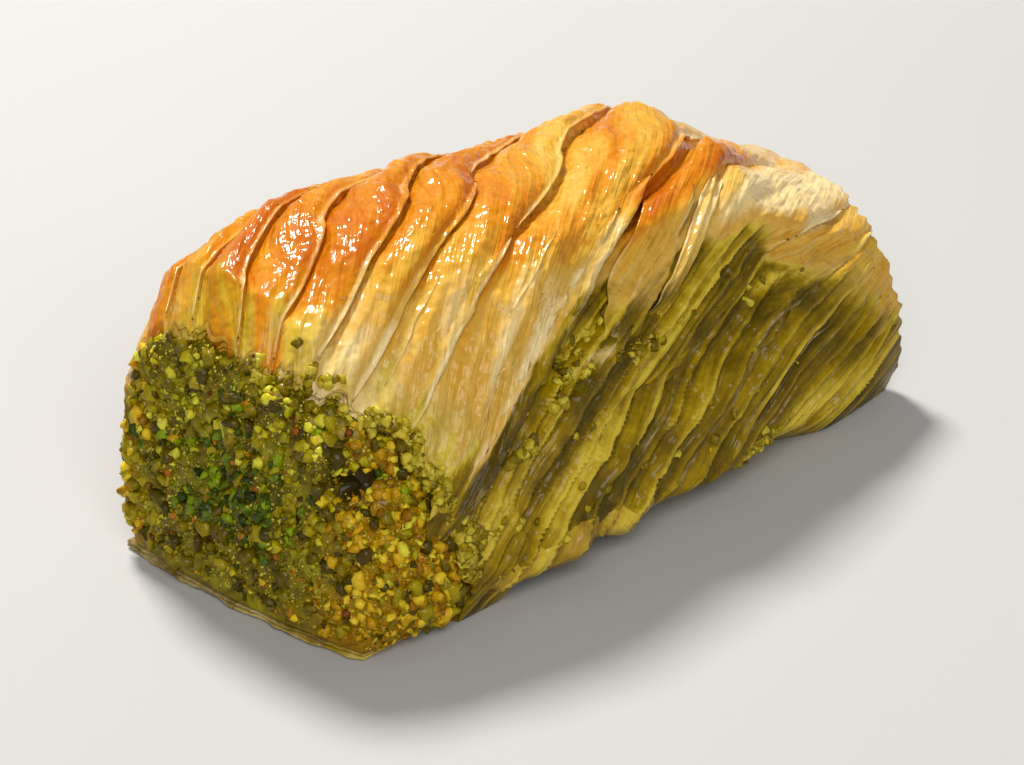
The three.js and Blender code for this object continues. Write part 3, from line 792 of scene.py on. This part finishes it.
def makeRimLeaves(material):
    sheets = []
    angles = np.linspace(1.5, 178.5, 380)[:, None]
    arc = angles * arcPerDegree
    t = np.linspace(0, 1, 6)[None, :]
    # per end: its direction along x, its edge, cover there, share of raggedness, furthest reach, how fast it calms
    for end, edge, depthAt, torn, furthest, calming in (
        (-1, mouthAt, cover["rimThickness"], 1, 1.1, 1),
        (1, tailAt, cover["thickness"], 0.5, 0.35, 1.6),
    ):
        for k in range(rims["layers"]):
            depth = 0.12 + (depthAt - 0.35) * k / (rims["layers"] - 1)
            rough = noise(arc / 1.5, 3.3 * k, 81 + k)
            broad = noise(arc / 6.0, 1.9 * k, 91 + k, 2)
            reach = rims["reach"] * (broad - 0.25) + rims["ragged"] * torn * (rough - 0.5) - 0.35 * (k == 0)
            x = edge(angles) + end * (-rims["inside"] * (1 - t) + np.clip(reach, -0.6, furthest) * t)
            wave = rims["wave"] * (noise(arc / 2.2, 5.1 * k, 95) - 0.5) * t
            held = np.clip(x, mouthAt(angles), tailAt(angles))
            calm = surfaceHeight(held, angles) * (1 - k / rims["layers"]) ** calming
            bottom = np.minimum(depth, 1.0)
            y, z = sectionPoint(x, angles, depth, bottom)
            normal = sectionNormal(x, angles, np.minimum(angles + 1, 180), depth, bottom)
            raised = np.minimum(np.maximum(calm, -0.9 * (depthAt - depth)), 2.0) * unit(z / 4)
            top = np.stack([x, y, z], -1) + normal * (wave + raised)[..., None]
            top[..., 2] = np.maximum(top[..., 2], 0.25)
            marks = filoAttributes(x, angles, -0.3, 0.25 * (k % 2))
            sheets.append(sheetPiece(top, rims["thickness"], normal, marks, flip=end < 0))
    return joinSheets("rimLeaves", sheets, material)


# Pale leaf edge that wanders along the foot of the near side, and the leaves of the base at both open ends
foot = {"fromX": -19.5, "toX": -0.5, "angle": 5.6, "flare": 0.7, "width": (-13.4, 13.8)}
baseLayers = {"near": (0.3, 0.62), "far": (0.45, 0.95, 1.35), "nearBack": -18.0, "farBack": 27.0}


def frontFace(y, z):
    across = unit(1 - ((y - nuts["baseBulgeAt"]) / nuts["baseBulgeReach"]) ** 2)
    bulge = nuts["baseBulge"] * across * unit(1 - z / 16)
    return nuts["nearFace"] - nuts["faceSlant"] * (y + 14) - bulge


def baseLeaf(edge, backX, across, height, wave, paler):
    # flat leaf from its ragged edge back to backX
    t = np.linspace(0, 1, 8)[None, :]
    x = edge * (1 - t) + backX * t
    top = np.stack(np.broadcast_arrays(x, across, height + wave * (1 - t) ** 4), -1)
    normal = np.zeros_like(top)
    normal[..., 2] = 1
    marks = filoAttributes(np.clip(x, -33, 32), np.where(top[..., 1] < 0, *footAngles), 0.1, paler)
    return sheetPiece(top, leaves["thickness"], normal, marks, flip=backX > 0)


def makeFootLeaves(material):
    u = np.linspace(0, 1, 90)[:, None]
    t = np.linspace(0, 1, 7)[None, :]
    ends = unit(np.minimum(u, 1 - u) * 8) ** 0.7
    x = foot["fromX"] + (foot["toX"] - foot["fromX"]) * u + 0.3 * t
    wander = noise(x / 4.0, 2, 101) - 0.5
    angle = np.clip(foot["angle"] + 2.6 * (1 - t) - 2.0 * t + 5 * wander * ends, 1.5, 60)
    flare = foot["flare"] * ends * t ** 1.6 * (0.5 + noise(x / 1.6, 0, 103))
    top, normal = rollPoint(x, angle, 0.05 + flare - 0.2 * (1 - t))
    top[..., 2] = np.maximum(top[..., 2], 0.3)
    marks = filoAttributes(x, angle, 0.2, 0.16)
    marks["wet"] = marks["wet"] * 0.6
    marks["wetTone"] = unit(marks["wetTone"] + 0.35)
    sheets = [sheetPiece(top, leaves["thickness"], normal, marks)]
    across = np.linspace(*foot["width"], 130)[:, None]
    for k, height in enumerate(baseLayers["near"]):
        rough = noise(across / 1.7, k, 111 + k) - 0.5
        wave = 0.25 * (noise(across / 3.0, k, 117, 2) - 0.5)
        edge = frontFace(across, 0) + 0.25 + 0.7 * rough - 0.12 * (1 - k)
        sheets.append(baseLeaf(edge, baseLayers["nearBack"], across, height, wave, 0.5))
    for k, height in enumerate(baseLayers["far"]):
        rough = noise(across / 1.4, k, 121 + k) - 0.5
        wave = 0.5 * (noise(across / 2.6, k, 127, 2) - 0.5)
        edge = cover["tailEdge"] + 0.9 * rough - 0.2 * k
        sheets.append(baseLeaf(edge, baseLayers["farBack"], across * (1 - 0.04 * k), height, wave, 0.3))
    return joinSheets("footLeaves", sheets, material)


def vertexNormals(points, faces):
    quads = np.array([f if len(f) == 4 else (*f, f[2]) for f in faces])
    a, b, c, d = (points[quads[:, k]] for k in range(4))
    normal = np.cross(c - a, d - b)
    total = np.zeros_like(points)
    for k in range(4):
        np.add.at(total, quads[:, k], normal)
    return total / np.maximum(np.linalg.norm(total, axis=1, keepdims=True), 1e-9)


def grainNoise(points, size, seed):
    # smooth random field in space from 0 to 1 with cells of the given size
    p = points / size + seed * 7.31
    cell = np.floor(p)
    f = p - cell
    f = f * f * (3 - 2 * f)
    total = 0.0
    for corner in range(8):
        step = np.array([corner & 1, corner >> 1 & 1, corner >> 2 & 1])
        at = (cell + step).astype(np.int64)
        value = hashNoise(at[:, 0] + 57 * at[:, 2], at[:, 1] - 131 * at[:, 2], seed)
        total += value * np.where(step, f, 1 - f).prod(axis=1)
    return total


def fillingDepth(x, angle):
    inside = x - mouthAt(angle)
    share = ease(inside, -1.5, -0.6)
    return 0.25 * (1 - share) + (coverThickness(inside) - 0.3) * share


def makeFillingCore(material):
    # closed lumpy body of nut paste: front face, sides, back face
    archCount, baseCount = 210, 44
    angles = np.linspace(0, 180, archCount)
    t = np.linspace(0, 1, baseCount + 2)[1:-1]
    centreZ = nuts["centreZ"]
    rings, bare = [], []

    def addRing(edgeX, share, face=0):
        y, z = sectionPoint(edgeX, angles, fillingDepth(edgeX, angles), nuts["floor"])
        y = np.concatenate([y, y[-1] * (1 - t) + y[0] * t]) * share
        z = centreZ + (np.concatenate([z, nuts["floor"] + 0 * t]) - centreZ) * share
        bulge = nuts["faceBulge"] * (1 - share * share)
        x = edgeX + 0 * y
        if face < 0:
            x = frontFace(y, z) - bulge
        elif face > 0:
            x = nuts["tailFace"] + bulge + 0 * y
        rings.append(np.stack([x, y, z], -1))
        side = np.concatenate([edgeX < mouthAt(angles) + 0.2, np.zeros(baseCount, bool)])
        bare.append((z > 1.9 if face else side).astype(float))

    for share in np.linspace(0, 1, 58)[1:]:
        addRing(-31.6, share, -1)
    for x in np.concatenate([np.arange(-31.3, -18, 0.36), np.arange(-18, 26, 3.0), np.arange(26, 31.5, 0.5)]):
        addRing(x, 1)
    for share in np.linspace(1, 0, 46)[:-1]:
        addRing(30.1, share, 1)
    columns, count = archCount + baseCount, len(rings)
    faces = gridFaces(count, columns, closed=True)
    points = np.concatenate(rings + [[[ring[:, 0].mean(), 0, centreZ]] for ring in (rings[0], rings[-1])])
    first, last = len(points) - 2, len(points) - 1
    for c in range(columns):
        n = (c + 1) % columns
        faces += [(first, c, n), (last, (count - 1) * columns + n, (count - 1) * columns + c)]
    normals = vertexNormals(points, faces)
    if (normals * (points - [0, 0, centreZ])).sum(1).mean() < 0:
        faces = [tuple(reversed(f)) for f in faces]
        normals = -normals
    lumps = grainNoise(points, 3.1, 2) + 0.8 * grainNoise(points, 1.5, 5) - 0.9
    grit = grainNoise(points, 0.55, 9) - 0.5
    loose = np.maximum(1 - ease(points[:, 0], -20, -14), ease(points[:, 0], 29, 31))
    rough = (nuts["lumps"] * lumps + nuts["grit"] * grit) * loose
    low = unit((points[:, 2] - 1.0) / 1.5)
    points = points + normals * (rough * low)[:, None]
    deepest = np.zeros(len(points))
    for y, z, radius, depth in nuts["pits"]:
        far = np.hypot(points[:, 1] - y, points[:, 2] - z)
        dip = np.exp(-(far / radius) ** 2) * (points[:, 0] < -27)
        points[:, 0] += dip * depth
        deepest = np.maximum(deepest, dip * depth / 3.0)
    deepest = unit(deepest)
    # painted shade: the deepest pits turn the paste near black through pitShade, and fewer nuts are scattered in them
    kept = 1 - 0.92 * ease(deepest, 0.45, 0.85)
    attributes = {"bare": np.concatenate([*bare, [1, 1]]) * kept, "pitShade": ease(deepest, 0.08, 0.6)}
    return meshPiece("pistachioPaste", points, faces, material, attributes | nutZones(points))


def nutZones(points):
    # where each kind of nut lies thickest on the open end: green in the middle, amber at the corners
    x, y, z = points.T
    patch = grainNoise(points, 3.6, 31) - 0.5
    middle = np.exp(-((y - 1) ** 2 + 1.1 * (z - 10.5) ** 2) / 46) + 0.5 * patch
    near = ease(-y, 8, 13) * (z > 1) + 0.8 * ease(y, 10.5, 14)
    upper = np.exp(-((y - 6) ** 2 / 50 + (z - 17) ** 2 / 12))
    tail = x > 0
    green = unit(np.where(tail, 0.7 + patch, middle))
    amber = unit(np.where(tail, 0.35 + patch, 1.2 * near + 0.6 * patch))
    low = 1 - ease(z, 5, 10)
    green = unit(green - 0.25 * low)
    bright = np.clip(0.35 + 0.5 * patch + 0.8 * upper - 0.3 * middle - 0.4 * low, 0.05, 1)
    return {"greenZone": green, "amberZone": amber, "brightZone": bright}


# Paste: colours from deep to bright, then what it turns to by zone and how far; the pitShade entry is painted shade,
# near black in the deepest pits
pasteLook = {
    "moist": [(0.34, srgb(58, 50, 0)), (0.48, srgb(112, 98, 0)), (0.68, srgb(176, 160, 10))],
    "turns": [("amberZone", 0.85, srgb(164, 116, 0)), ("greenZone", 0.7, srgb(40, 66, 0)),
              ("pitShade", 0.9, srgb(20, 14, 0))],
}
nutGloss = {"Roughness": 0.5, "Specular IOR Level": 0.06}


def makePasteMaterial():
    material, tree, shader, place = newMaterial("nutPaste")
    broad = calc(tree, "MULTIPLY", noiseOf(tree, place, 210, 3, 0.5), 0.5)
    fleck = calc(tree, "MULTIPLY", noiseOf(tree, place, 800, 5, 0.65), 0.5)
    colour = rampOf(tree, calc(tree, "ADD", broad, fleck), pasteLook["moist"])
    for zone, share, turned in pasteLook["turns"]:
        colour = mixColour(tree, calc(tree, "MULTIPLY", attributeOf(tree, zone), share), colour, (*turned, 1))
    fillInputs(tree, shader, nutGloss | {
        "Base Color": colour,
        "Coat Weight": 0.3, "Coat Roughness": 0.14,
        "Normal": bumpOf(tree, noiseOf(tree, place, 2600, 3, 0.6), 0.6, 0.0003),
    })
    return material


def makeNutMaterial(name, shades):
    # one chopped nut finish: shades go from the darkest to the lightest
    material, tree, shader, place = newMaterial(name)
    value = shaken(tree, attributeOf(tree, "tone"), (noiseOf(tree, place, 1100, 4, 0.65), 1.1))
    stops = [(0.08 + 0.84 * k / (len(shades) - 1), srgb(*shade)) for k, shade in enumerate(shades)]
    fillInputs(tree, shader, nutGloss | {
        "Base Color": rampOf(tree, value, stops),
        "Normal": bumpOf(tree, noiseOf(tree, place, 2800, 3, 0.6), 0.5, 0.0002),
        "Coat Weight": 0.32, "Coat Roughness": 0.12,
        "Subsurface Weight": 0.35, "Subsurface Radius": (0.8, 0.8, 0.2), "Subsurface Scale": 0.0008,
    })
    return material


# One chopped nut: how far the block is rounded, its least and greatest proportions, and its rough skin
nutShape = {
    "rounding": 0.42, "least": (0.5, 0.5, 0.4), "most": (1.25, 1.05, 0.9),
    "smallMore": 2.2,  # power that makes small ones more common
    "skinScale": 1900, "skinDetail": 2.5,
}


def scatterTree(material, zone, perCm2, smallest, largest, roughness, seed, blockCount):
    # Geometry Nodes: rough pieces scattered over the bare faces, thickest in their zone, each one a bent block
    tree = bpy.data.node_groups.new("scatterNuts", "GeometryNodeTree")
    for direction in ("INPUT", "OUTPUT"):
        tree.interface.new_socket("Geometry", in_out=direction, socket_type="NodeSocketGeometry")

    def made(kind, output, inputs=None, **settings):
        return socketOf(tree, kind, output, inputs, **settings)

    def vectorOf(operation, inputs):
        return made("ShaderNodeVectorMath", 0, inputs, operation=operation)

    bare, thick = (made("GeometryNodeInputNamedAttribute", "Attribute", {"Name": name}) for name in ("bare", zone))
    density = calc(tree, "MULTIPLY", bare, calc(tree, "MULTIPLY", thick, perCm2 * 1e4))
    surface = made("NodeGroupInput", "Geometry")
    points = made("GeometryNodeDistributePointsOnFaces", "Points", {"Mesh": surface, "Density": density, "Seed": seed})
    tone = made("FunctionNodeRandomValue", 1, {"Seed": seed}, data_type="FLOAT")
    points = made("GeometryNodeStoreNamedAttribute", "Geometry", {"Name": "tone", "Geometry": points, "Value": tone},
                  data_type="FLOAT", domain="POINT")
    cube = made("GeometryNodeMeshCube", "Mesh", {1: blockCount, 2: blockCount, 3: blockCount})
    place = made("GeometryNodeInputPosition", 0)
    ball = vectorOf("NORMALIZE", {0: place})
    blend = made("ShaderNodeMix", 1, {0: nutShape["rounding"], 4: place, 5: ball}, data_type="VECTOR")
    block = made("GeometryNodeSetPosition", "Geometry", {"Geometry": cube, "Position": blend})
    turn = made("FunctionNodeRandomValue", 0, {0: (0, 0, 0), 1: (6.3, 6.3, 6.3), "Seed": seed},
                data_type="FLOAT_VECTOR")
    chance = made("FunctionNodeRandomValue", 1, {"Seed": 23}, data_type="FLOAT")
    skewed = calc(tree, "POWER", chance, nutShape["smallMore"])
    size = made("ShaderNodeMapRange", 0, {0: skewed, 3: smallest * mm, 4: largest * mm})
    shape = made("FunctionNodeRandomValue", 0, {0: nutShape["least"], 1: nutShape["most"], "Seed": 11},
                 data_type="FLOAT_VECTOR")
    copies = made("GeometryNodeInstanceOnPoints", "Instances", {
        "Points": points, "Instance": block, "Rotation": turn, "Scale": vectorOf("SCALE", {0: shape, "Scale": size}),
    })
    real = made("GeometryNodeRealizeInstances", "Geometry", {"Geometry": copies})
    skin = made("ShaderNodeTexNoise", "Color", {"Scale": nutShape["skinScale"], "Detail": nutShape["skinDetail"]})
    centred = vectorOf("SUBTRACT", {0: skin, 1: (0.5, 0.5, 0.5)})
    push = vectorOf("SCALE", {0: centred, "Scale": roughness * mm})
    bent = made("GeometryNodeSetPosition", "Geometry", {"Geometry": real, "Offset": push})
    finished = made("GeometryNodeSetMaterial", "Geometry", {"Material": material, "Geometry": bent})
    addNode(tree, "NodeGroupOutput", {"Geometry": finished})
    return tree


def scatterNuts(name, surface, material, *settings):
    # pieces of one kind over a surface, as one plain mesh with nothing below the floor
    host = addObject(name + "Host", surface.data.copy())
    host.modifiers.new("scatter", "NODES").node_group = scatterTree(material, *settings)
    bpy.context.view_layer.update()
    mesh = bpy.data.meshes.new_from_object(host.evaluated_get(bpy.context.evaluated_depsgraph_get()))
    bpy.data.objects.remove(host)
    mesh.name = name
    spots = np.empty(len(mesh.vertices) * 3)
    mesh.vertices.foreach_get("co", spots)
    spots[2::3] = np.maximum(spots[2::3], 0.0001)
    mesh.vertices.foreach_set("co", spots)
    print("  ", name, len(mesh.polygons), "faces")
    return addSmooth(name, mesh)


# Kinds of nut: shades from dark to light, then zone, pieces per square centimetre, smallest and largest in mm,
# roughness, seed and points along a block's edge
nutKinds = {
    "yellowNuts": ([(128, 116, 0), (180, 166, 6), (220, 210, 60)], "brightZone", 190, 0.2, 1.0, 1.15, 4, 3),
    "amberNuts": ([(140, 94, 0), (192, 144, 0), (226, 192, 40)], "amberZone", 240, 0.2, 1.0, 1.15, 9, 3),
    "greenNuts": ([(34, 42, 0), (70, 88, 0), (132, 152, 0)], "greenZone", 250, 0.22, 1.1, 1.2, 15, 3),
    "oliveNuts": ([(70, 58, 0), (116, 98, 0), (160, 142, 8)], "bare", 70, 0.3, 1.35, 1.4, 33, 3),
    "nutSkins": ([(92, 44, 2), (156, 82, 8), (200, 124, 20)], "bare", 9, 0.25, 0.7, 0.6, 21, 3),
    "nutDust": ([(110, 90, 0), (160, 138, 8), (212, 194, 74)], "bare", 800, 0.1, 0.3, 0.2, 41, 2),
}
crumbKind = ([(104, 86, 0), (160, 138, 8), (204, 184, 56)], "bare", 520, 0.14, 0.85, 0.85, 51, 3)


def crumbPatch(points, mask):
    # surface that carries crumbs, with how thickly they lie
    return points.reshape(-1, 3), gridFaces(*mask.shape), {"bare": mask.reshape(-1)}


def filoPatch(sRange, angleRange, density, seed, cell):
    s, angle = np.meshgrid(np.linspace(*sRange, 40), np.linspace(*angleRange, 40), indexing="ij")
    x = creaseX(s, angle)
    mask = ease(noise(s / cell, angle * arcPerDegree / cell, seed, 2), 0.45, 0.62) * density
    mask = mask * (x > mouthAt(angle) - 0.5) * (x < tailAt(angle) - 0.5)
    return crumbPatch(rollPoint(x, angle, 0.05)[0], mask)


def rimPatch(angleRange, inner, outer, density, seed):
    # band of leaf along the open edge
    u, angle = np.meshgrid(np.linspace(-outer, inner, 16), np.linspace(*angleRange, 90), indexing="ij")
    mask = ease(noise(u / 1.6, angle * arcPerDegree / 2.0, seed, 2), 0.4, 0.6) * density
    return crumbPatch(rollPoint(mouthAt(angle) + u, angle)[0], mask)


def makeCrumbs():
    patches = [
        filoPatch((22.6, 30.5), (23, 43), 1.0, 5, 1.5),
        filoPatch((29, 42.5), (29.5, 37), 1.2, 9, 1.6),
        filoPatch((24, 38), (5, 26), 0.5, 6, 2.0),
        filoPatch((40, 60), (6, 42), 0.22, 7, 2.0),
        filoPatch((60.5, 63.5), (2, 8), 2.0, 10, 1.2),
        filoPatch((27.5, 30.5), (2, 10), 2.0, 12, 1.2),
        rimPatch((8, 82), 1.4, 0.9, 2.2, 8),
    ]
    shades, *settings = crumbKind
    material = makeNutMaterial("caughtCrumbs", shades)
    bed = joinSheets("crumbBed", patches, material)
    crumbs = scatterNuts("caughtCrumbs", bed, material, *settings)
    bpy.data.objects.remove(bed)
    return crumbs


print("filo wrap")
filo = makeFiloMaterial()
attach(makeFiloWrap(filo), "filo_wrap")

print("loose leaves")
for makeLeaves in (makeCreaseLeaves, makeTornFlap, makeRimLeaves, makeFootLeaves):
    attach(makeLeaves(filo), "filo_wrap")

print("pistachio filling")
paste = makeFillingCore(makePasteMaterial())
attach(paste, "pistachio_filling")
for kindName, (kindShades, *kindSettings) in nutKinds.items():
    kindMaterial = makeNutMaterial(kindName, kindShades)
    attach(scatterNuts(kindName, paste, kindMaterial, *kindSettings), "pistachio_filling")

print("crumbs on the leaf")
attach(makeCrumbs(), "filo_wrap")


# Camera, lamps and floor: azimuth and elevation in degrees, distances and sizes in mm
view = {
    "azimuth": -43.5, "elevation": 31.0, "distance": 420.0, "lens": 167.6,
    "target": (1.2, 0.05, 11.0), "aimRight": -1.4, "aimUp": -2.4,
}
lamps = {
    "windowLight": {"azimuth": 165, "elevation": 56, "distance": 520, "size": 120, "power": 3.4,
                    "tint": (1, 0.98, 0.95)},
    "frontFill": {"azimuth": -38, "elevation": 42, "distance": 620, "size": 420, "power": 2.2,
                  "tint": (1, 0.99, 0.97)},
}
room = {"tint": (0.9, 0.93, 1.0, 1), "strength": 0.24, "floorHalf": 1.5, "floorZ": -0.0001}


def directionTo(place):
    az, el = math.radians(place["azimuth"]), math.radians(place["elevation"])
    return Vector((math.sin(az) * math.cos(el), -math.cos(az) * math.cos(el), math.sin(el)))


def addAimed(name, data, away, place):
    obj = addObject(name, data)
    obj.location = place * mm
    obj.rotation_euler = away.to_track_quat("Z", "Y").to_euler()
    return obj


def makeCamera():
    back = directionTo(view)
    az = math.radians(view["azimuth"])
    right = Vector((math.cos(az), math.sin(az), 0))
    aim = Vector(view["target"]) + right * view["aimRight"] + back.cross(right) * view["aimUp"]
    data = bpy.data.cameras.new("camera")
    data.lens = view["lens"]
    data.sensor_width = 36
    data.clip_start = 0.01
    bpy.context.scene.camera = addAimed("camera", data, back, aim + back * view["distance"])


def makeLamps():
    for name, lamp in lamps.items():
        away = directionTo(lamp)
        data = bpy.data.lights.new(name, "AREA")
        data.shape = "DISK"
        data.size = lamp["size"] * mm
        data.energy = lamp["power"]
        data.color = lamp["tint"]
        addAimed(name, data, away, away * lamp["distance"])
    world = bpy.data.worlds.new("softRoom")
    world.use_nodes = True
    background = world.node_tree.nodes["Background"]
    background.inputs[0].default_value = room["tint"]
    background.inputs[1].default_value = room["strength"]
    bpy.context.scene.world = world


def makeFloor():
    half = room["floorHalf"]
    mesh = bpy.data.meshes.new("floor")
    corners = [(x * half, y * half, room["floorZ"]) for x, y in ((-1, -1), (1, -1), (1, 1), (-1, 1))]
    mesh.from_pydata(corners, [], [(0, 1, 2, 3)])
    material, tree, shader, place = newMaterial("paleFloor")
    colour = rampOf(tree, noiseOf(tree, place, 6, 2, 0.5), [(0.3, (0.47, 0.46, 0.44)), (0.7, (0.5, 0.49, 0.47))])
    fillInputs(tree, shader, {"Base Color": colour, "Roughness": 0.7})
    mesh.materials.append(material)
    addObject("floor", mesh)


print("camera, light and floor")
makeCamera()
makeLamps()
makeFloor()
bpy.context.scene.view_settings.view_transform = "Standard"

print("pieces", len(pieces))
